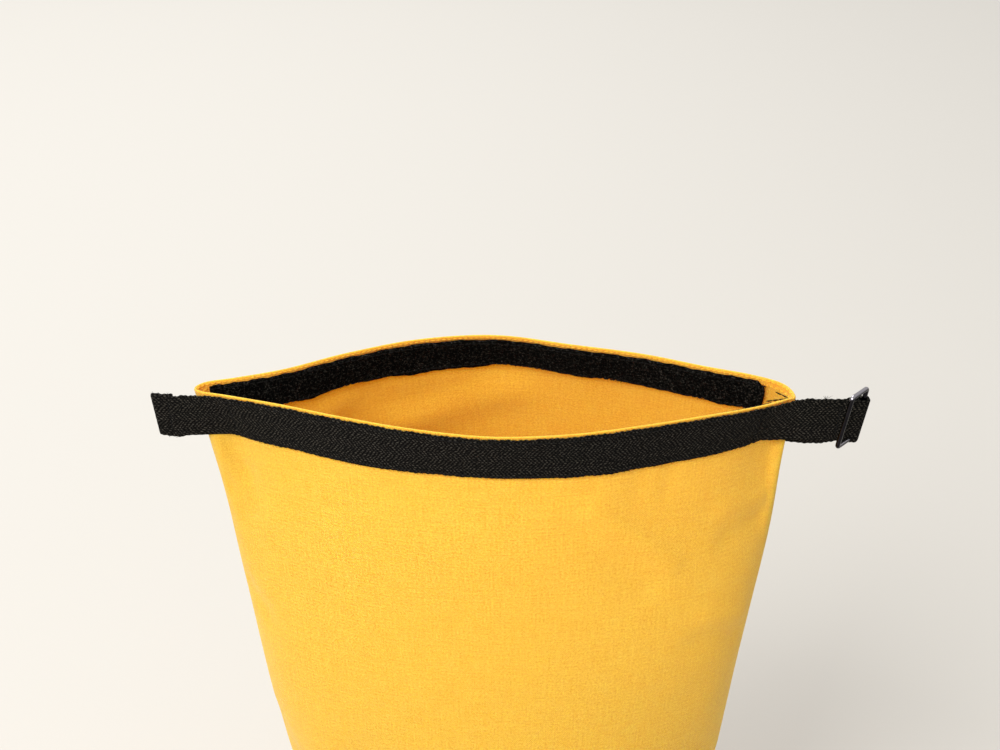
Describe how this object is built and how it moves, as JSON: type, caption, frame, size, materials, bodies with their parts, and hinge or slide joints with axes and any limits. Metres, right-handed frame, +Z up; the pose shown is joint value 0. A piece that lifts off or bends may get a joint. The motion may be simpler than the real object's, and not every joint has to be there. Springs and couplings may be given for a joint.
{
  "type": "roll-top dry bag",
  "caption": "Open roll-top fabric dry bag on a round base, with a webbing band along its mouth, hook and loop strips inside and a metal ring on one end.",
  "frame": {"origin": "centre of the round base's underside", "axes": "+X to the end that holds the ring, -Y to the side with the webbing band, +Z up out of the mouth"},
  "size_m": [0.3824, 0.2178, 0.4599],
  "materials": {
    "bag_cloth": "matt woven cloth, mustard yellow",
    "webbing": "black herringbone webbing",
    "closure_strip": "black hook and loop pile",
    "black_thread": "black sewing thread",
    "cloth_thread": "yellow sewing thread",
    "seam_tape": "welded seam tape",
    "ring_metal": "gunmetal plating, semi-gloss"
  },
  "bodies": {
    "bag": {"front_panel": "bag_cloth", "rear_panel": "bag_cloth", "base_disc": "bag_cloth", "base_seam_tape": "seam_tape", "left_seam_tape": "seam_tape", "right_seam_tape": "seam_tape", "front_hem": "bag_cloth", "rear_hem": "bag_cloth", "front_hem_stitch": "cloth_thread", "rear_hem_stitch": "cloth_thread", "hook_strip": "closure_strip", "loop_strip": "closure_strip", "hook_strip_top_stitch": "black_thread", "hook_strip_bottom_stitch": "black_thread", "loop_strip_top_stitch": "black_thread", "loop_strip_bottom_stitch": "black_thread", "front_webbing": "webbing", "webbing_top_stitch": "black_thread", "webbing_bottom_stitch": "black_thread", "left_corner_stitch": "black_thread", "right_corner_stitch": "black_thread", "webbing_return_end": "webbing"},
    "left_end": {"left_tab": "webbing", "left_tab_stitch": "black_thread"},
    "right_end": {"right_tab": "webbing", "right_tab_stitch": "black_thread"},
    "metal_ring": {"ring": "ring_metal"}
  },
  "joints": [
    {"name": "left_end_bend", "type": "hinge", "parent": "bag", "child": "left_end", "pos_m": [-0.165, -0.0043, 0.4367], "axis": [0, 0, 1], "range_deg": [-90, 90]},
    {"name": "right_end_bend", "type": "hinge", "parent": "bag", "child": "right_end", "pos_m": [0.165, -0.00512, 0.4387], "axis": [0, 0, 1], "range_deg": [-90, 90]},
    {"name": "ring_swing", "type": "hinge", "parent": "right_end", "child": "metal_ring", "pos_m": [0.19376, -0.00319, 0.44218], "axis": [0.1736, -0.0515, 0.9835], "range_deg": [-4, 170]}
  ]
}
